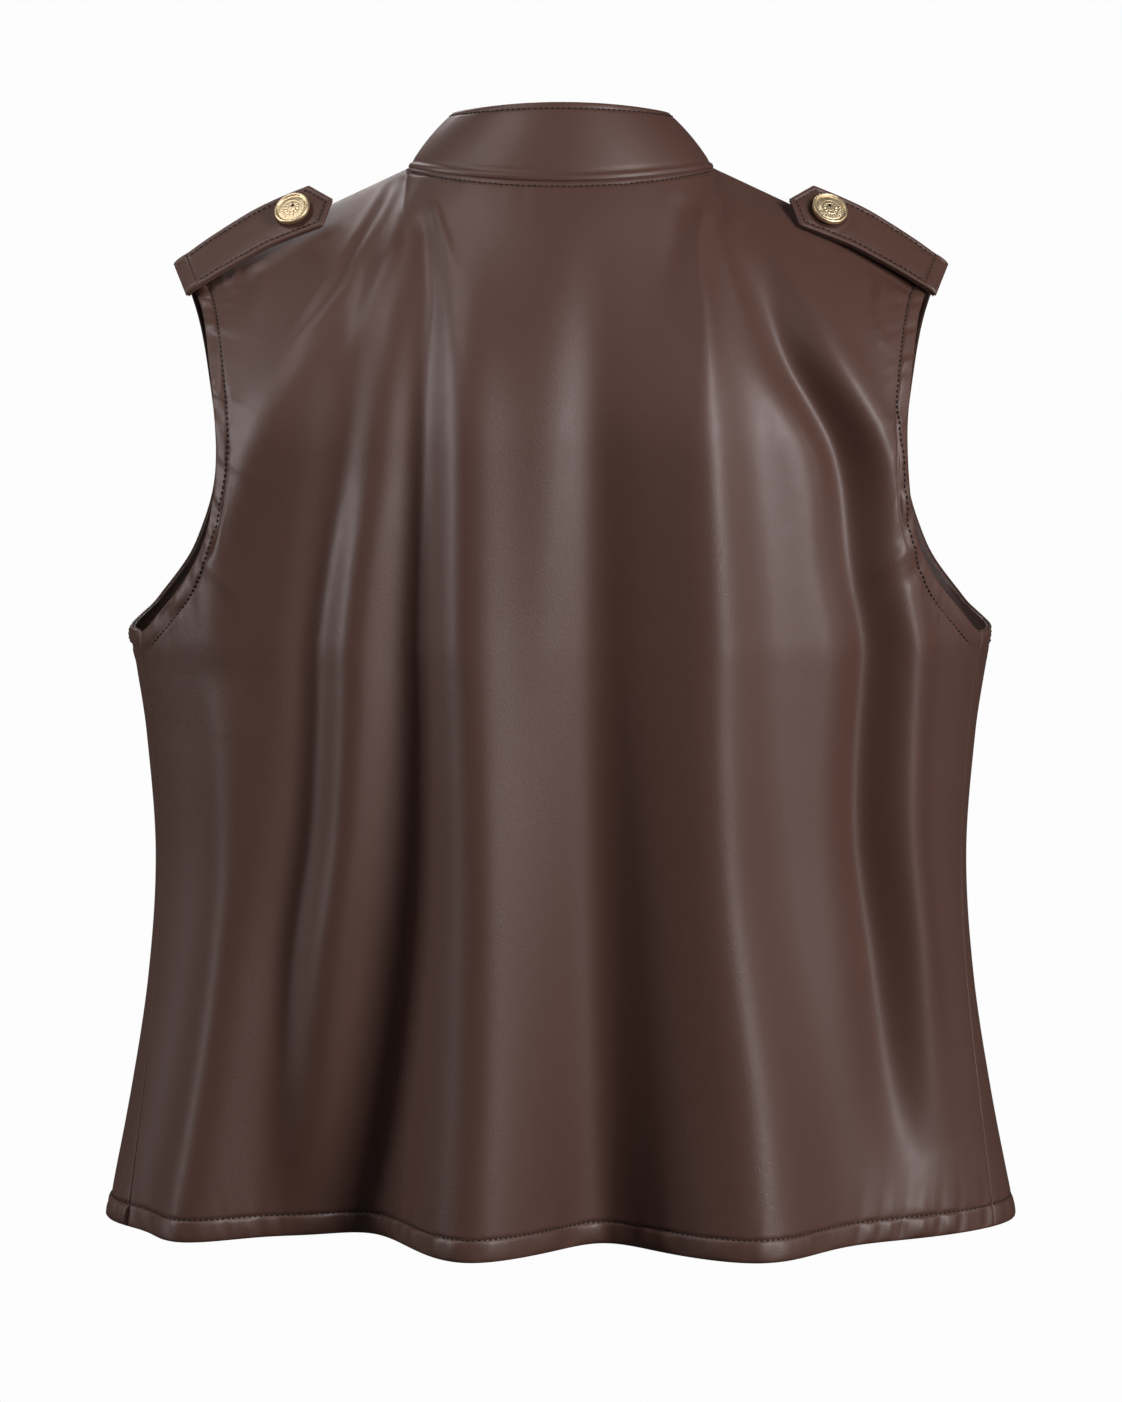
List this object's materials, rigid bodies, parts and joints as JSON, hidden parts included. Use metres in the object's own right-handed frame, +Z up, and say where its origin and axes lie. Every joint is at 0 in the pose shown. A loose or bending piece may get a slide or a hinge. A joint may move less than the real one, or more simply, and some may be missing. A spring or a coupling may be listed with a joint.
{
  "type": "leather vest with stand collar and shoulder straps",
  "caption": "Sleeveless leather vest, hollow as when worn, with a stand collar, buttoned shoulder straps, a buttoned front and a flared, fluted hem.",
  "frame": {"origin": "middle of the neck hole, level with the side neck points, where the wearer's shoulders carry the vest", "axes": "+Z up, +X to the wearer's left, -Y to the buttoned front"},
  "size_m": [0.496, 0.2673, 0.6003],
  "materials": {
    "leather": "satin dark brown coated leather, fine grain",
    "facing": "smooth dark brown coated leather, inside of the armholes",
    "gilt": "pale gold plated, polished rim"
  },
  "bodies": {
    "root": {"back_panel": "leather", "front_left_panel": "leather", "front_right_panel": "leather", "collar": "leather", "armhole_facing_back_left": "facing", "armhole_facing_back_right": "facing", "armhole_facing_front_left": "facing", "armhole_facing_front_right": "facing", "shoulder_strap_left": "leather", "shoulder_strap_right": "leather", "strap_button_left": "gilt", "strap_button_right": "gilt", "front_button_1": "gilt", "front_button_2": "gilt", "front_button_3": "gilt", "front_button_4": "gilt", "front_button_5": "gilt", "front_button_6": "gilt"}
  },
  "joints": []
}
